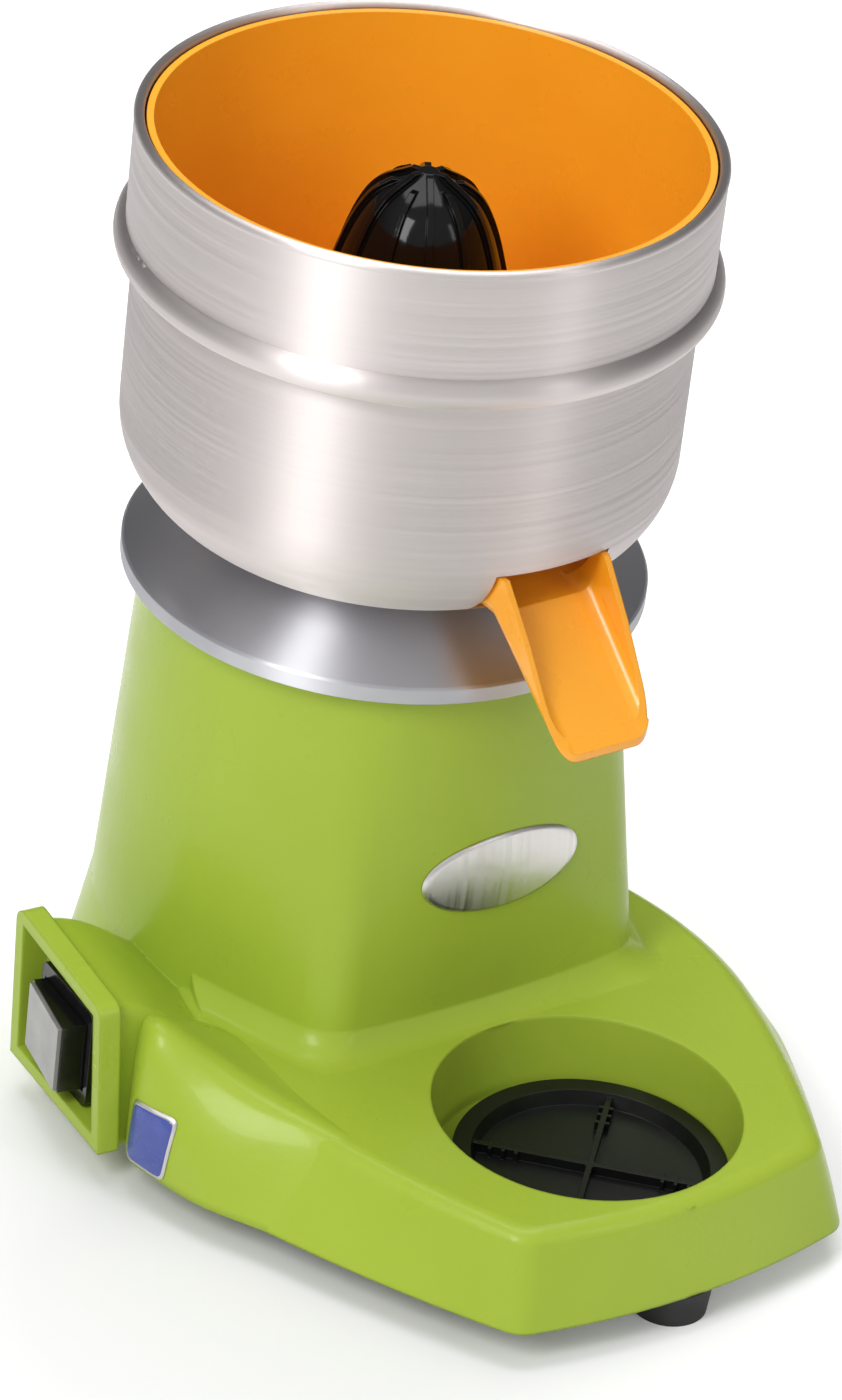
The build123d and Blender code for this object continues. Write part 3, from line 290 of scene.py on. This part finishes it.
def piece(name, points, faces, look, body):
    """A new smooth-shaded mesh piece that rides on a body."""
    mesh = bpy.data.meshes.new(name)
    mesh.from_pydata([tuple(point) for point in points], [], faces)
    mesh.validate()
    mesh.polygons.foreach_set("use_smooth", [True] * len(mesh.polygons))
    mesh.materials.append(look.material)
    made = bpy.data.objects.new(name, mesh)
    scene.collection.objects.link(made)
    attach(made, body)
    return made


def grid_faces(rows, columns):
    faces = []
    for row in range(rows - 1):
        for column in range(columns - 1):
            corner = row * columns + column
            faces.append((corner, corner + columns, corner + columns + 1, corner + 1))
    return faces


def surface_of(made):
    """Search tree of a piece's final surface."""
    graph = bpy.context.evaluated_depsgraph_get()
    graph.update()
    return BVHTree.FromObject(made, graph)


# Web of the casting between the switch hood and the base's left side, in millimetres, station by
# station from the hood forward: bottom edge, wall, soft top edge, line along the base's top, and
# inner line under the surface
WEB_STATIONS = (
    ((-121, -53, 12.5), (-121, -53, 37), (-117, -51, 56), (-106, -48, 50), (-92, -42, 41.5)),
    (
        (-130.4, -67, 12.5), (-128.6, -65, 36), (-120.5, -61.5, 60.5), (-106, -53, 54.4), (-88, -45, 42.4),
    ),
    ((-128, -75, 12.5), (-126, -74, 35.5), (-113.5, -71, 55.5), (-99, -63, 50), (-81.5, -54.5, 43)),
    ((-126, -87, 12.5), (-122.3, -86, 34), (-106, -82, 50.2), (-94, -74, 47), (-79, -65, 42.8)),
    ((-121.5, -102, 12.5), (-114, -101, 32.5), (-98, -99, 46), (-89, -92, 45), (-76, -84, 42.6)),
    ((-112, -117, 12.5), (-99.6, -117, 31), (-90, -115.5, 44), (-82.5, -110, 43.8), (-73, -104, 41)),
    ((-105, -131, 12.5), (-93.5, -131, 30), (-85, -129.5, 42.8), (-78, -125, 43.2), (-69, -119, 40.5)),
    ((-97, -146, 12.5), (-88, -146, 28), (-79.5, -144.5, 41.6), (-73, -140, 42.2), (-65, -135, 39.5)),
)
WEB_WALL = 3 * MM
WEB_EDGE_PUSH = 0.5  # smoothing draws the soft top edge in, so it starts this share further out
WEB_SMOOTHING = 3

web_points = []
for station in WEB_STATIONS:
    low, wall, edge, top, inner = [Vector(point) * MM for point in station]
    edge = edge + (edge - (wall + top) / 2) * WEB_EDGE_PUSH
    web_points += [low, wall, edge, top, inner]
web_faces = grid_faces(len(WEB_STATIONS), len(WEB_STATIONS[0]))
casting_web = piece("casting_web", web_points, web_faces, green_paint, "base")
smooth = casting_web.modifiers.new("smooth", "SUBSURF")
smooth.levels = smooth.render_levels = WEB_SMOOTHING
thick = casting_web.modifiers.new("thick", "SOLIDIFY")
thick.thickness = WEB_WALL
thick.offset = -1  # the wall lies behind the surface


# Rings of a plate from its middle to its edge: share of the half width, and share of the crown
PLATE_RINGS = ((0, 1), (0.35, 0.9), (0.7, 0.55), (0.9, 0.25), (0.97, 0.12), (1, -0.3))
PLATE_SPOKES = 72
PLATE_THICKNESS = 0.9 * MM
PLATE_SINK = 2  # how much the thickness shrinks where the share of the crown is below zero
PLATE_CLEARANCE = 30 * MM  # the surface is looked for from this far out


def plate(name, tree, centre, normal, half_width, half_height, squareness, crown, look, body):
    """Thin plate of rounded outline over a surface, crowned in the middle and turned down at its edge."""
    across = Vector((0, 0, 1)).cross(normal).normalized()
    upward = normal.cross(across)
    points = []
    for reach, rise in PLATE_RINGS:
        height = PLATE_THICKNESS * min(1, 1 + PLATE_SINK * rise) + crown * max(rise, 0)
        for spoke in range(1 if reach == 0 else PLATE_SPOKES):
            angle = math.tau * spoke / PLATE_SPOKES
            side, top = math.cos(angle), math.sin(angle)
            side = math.copysign(abs(side) ** (2 / squareness), side) * half_width * reach
            top = math.copysign(abs(top) ** (2 / squareness), top) * half_height * reach
            start = centre + across * side + upward * top + normal * PLATE_CLEARANCE
            hit = tree.ray_cast(start, -normal)[0]
            points.append(hit + normal * height)
    faces = [(0, 1 + spoke, 1 + (spoke + 1) % PLATE_SPOKES) for spoke in range(PLATE_SPOKES)]
    for ring in range(len(PLATE_RINGS) - 2):
        first = 1 + ring * PLATE_SPOKES
        second = first + PLATE_SPOKES
        for spoke in range(PLATE_SPOKES):
            after = (spoke + 1) % PLATE_SPOKES
            faces.append((first + spoke, second + spoke, second + after, first + after))
    return piece(name, points, faces, look, body)


OVAL = 2.0  # squareness of an ellipse
NEAR_SQUARE = 9.0  # squareness of a rectangle with small round corners
FRONT = Vector((0, -1, 0))
PLATE_CENTRE = Vector((1.5, -83, 101.5)) * MM
LABEL_NORMAL = Vector((-0.943, -0.333, 0)).normalized()
LABEL_CENTRE = Vector((-126.5, -74.6, 24.6)) * MM

casting_tree = surface_of(nodes["body_casting"])
web_tree = surface_of(casting_web)
plate(
    "oval_plate", casting_tree, PLATE_CENTRE, FRONT, half_width=32 * MM, half_height=14.6 * MM,
    squareness=OVAL, crown=1.1 * MM, look=plate_steel, body="base",
)
plate(
    "label_plate", web_tree, LABEL_CENTRE, LABEL_NORMAL, half_width=9.6 * MM, half_height=11.2 * MM,
    squareness=NEAR_SQUARE, crown=0.1 * MM, look=plate_steel, body="base",
)
plate(
    "label_field", web_tree, LABEL_CENTRE, LABEL_NORMAL, half_width=8.8 * MM, half_height=10.4 * MM,
    squareness=NEAR_SQUARE, crown=0.45 * MM, look=blue_enamel, body="base",
)


# Floor: pale paper with a painted glow, seen by the camera and in reflections, that makes it brighter away
# from a spot at the front left, where its shadow is left showing

FLOOR_SIZE = 12
FLOOR_GREY = (0.82, 0.82, 0.82, 1)
FLOOR_SPOT = (-0.13, -0.14, 0)
GLOW_FROM, GLOW_TO = 0.07, 0.30  # distances from the spot where the glow starts and is full
GLOW_FULL = 0.34
WHITE = (1, 1, 1, 1)


def camera_boost(look, strength):
    """Strength of a painted glow, for the camera and in reflections only, so that the glow lights nothing
    else.
    """
    path = look.add("ShaderNodeLightPath")
    seen = look.add("ShaderNodeMath", "MAXIMUM")
    look.link(path.outputs["Is Camera Ray"], seen.inputs[0])
    look.link(path.outputs["Is Glossy Ray"], seen.inputs[1])
    product = look.add("ShaderNodeMath", "MULTIPLY")
    look.link(seen.outputs[0], product.inputs[0])
    look.link(strength, product.inputs[1])
    return product.outputs[0]


bpy.ops.mesh.primitive_plane_add(size=FLOOR_SIZE)
floor = bpy.context.object
floor.name = "floor"
floor_look = Look("floor_paper_and_painted_glow", FLOOR_GREY, roughness=0.9)
floor_look.set("Emission Color", WHITE)
place = floor_look.add("ShaderNodeTexCoord")
away = floor_look.add("ShaderNodeVectorMath", "DISTANCE")
away.inputs[1].default_value = FLOOR_SPOT
glow = floor_look.add(
    "ShaderNodeMapRange", From_Min=GLOW_FROM, From_Max=GLOW_TO, To_Min=0.0, To_Max=GLOW_FULL
)
floor_look.link(place.outputs["Object"], away.inputs[0])
floor_look.link(away.outputs["Value"], glow.inputs["Value"])
# painted light: the floor glows brighter away from the spot at the front left, which washes out its shadow
# everywhere but near that spot
painted_glow = camera_boost(floor_look, glow.outputs["Result"])
floor_look.link(painted_glow, floor_look.shader.inputs["Emission Strength"])
floor.data.materials.append(floor_look.material)
floor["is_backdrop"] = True


# Studio surround: bright over and behind the camera's side, darker to the sides and the back

BRIGHT_SIDE = Vector((-0.42, -0.54, 0.73)).normalized()
DARK_SIDE_COLOUR = (0.20, 0.20, 0.21, 1)
GREY_STOPS = ((0.45, 0.20), (0.66, 0.30), (0.84, 0.85))  # place from dark to bright side, level
SURROUND_STRENGTH = 0.75

world = bpy.data.worlds.new("studio")
scene.world = world
world.use_nodes = True
surround = world.node_tree
background = surround.nodes["Background"]
background.inputs["Strength"].default_value = SURROUND_STRENGTH
toward = add_node(surround, "ShaderNodeTexCoord")
facing = add_node(surround, "ShaderNodeVectorMath", "DOT_PRODUCT")
facing.inputs[1].default_value = BRIGHT_SIDE
shade = add_node(surround, "ShaderNodeMapRange", From_Min=-1)
ramp = add_node(surround, "ShaderNodeValToRGB")
ramp.color_ramp.elements[0].color = DARK_SIDE_COLOUR
ramp.color_ramp.elements[1].color = WHITE
for position, level in GREY_STOPS:
    stop = ramp.color_ramp.elements.new(position)
    stop.color = (level, level, level, 1)
surround.links.new(toward.outputs["Generated"], facing.inputs[0])
surround.links.new(facing.outputs["Value"], shade.inputs["Value"])
surround.links.new(shade.outputs["Result"], ramp.inputs["Fac"])
surround.links.new(ramp.outputs["Color"], background.inputs["Color"])


# Lamps

LIT_POINT = Vector((0, -0.04, 0.17))


def softbox(name, place, width, height, watts):
    """A rectangular lamp turned to the middle of the juicer."""
    lamp = bpy.data.lights.new(name, "AREA")
    lamp.shape = "RECTANGLE"
    lamp.size = width
    lamp.size_y = height
    lamp.energy = watts
    made = bpy.data.objects.new(name, lamp)
    made.location = place
    made.rotation_euler = (LIT_POINT - Vector(place)).to_track_quat("-Z", "Y").to_euler()
    scene.collection.objects.link(made)


softbox("key", (-1.5, -0.5, 1.5), width=0.6, height=1.0, watts=20)
softbox("top", (0.25, 0.55, 2.0), width=1.5, height=1.5, watts=25)
softbox("fill", (0.7, -1.75, 1.1), width=0.2, height=1.2, watts=3)


# Camera, with the place, the turn and the lens fitted to the photo

SENSOR_HEIGHT = 36
FOCAL_LENGTH = 167.14
CAMERA_PLACE = Vector((-1.1462, -1.5080, 1.2891))
CAMERA_RIGHT = Vector((0.8231, -0.5586, 0.1021)).normalized()
CAMERA_BACK = Vector((-0.5218, -0.6731, 0.5241)).normalized()

lens_data = bpy.data.cameras.new("camera")
lens_data.sensor_fit = "VERTICAL"
lens_data.sensor_height = SENSOR_HEIGHT
lens_data.lens = FOCAL_LENGTH
camera = bpy.data.objects.new("camera", lens_data)
up = CAMERA_BACK.cross(CAMERA_RIGHT).normalized()
right = up.cross(CAMERA_BACK)
turn = Matrix((right, up, CAMERA_BACK)).transposed()
camera.matrix_world = Matrix.Translation(CAMERA_PLACE) @ turn.to_4x4()
scene.collection.objects.link(camera)
scene.camera = camera
scene.view_settings.view_transform = "Standard"

low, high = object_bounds()
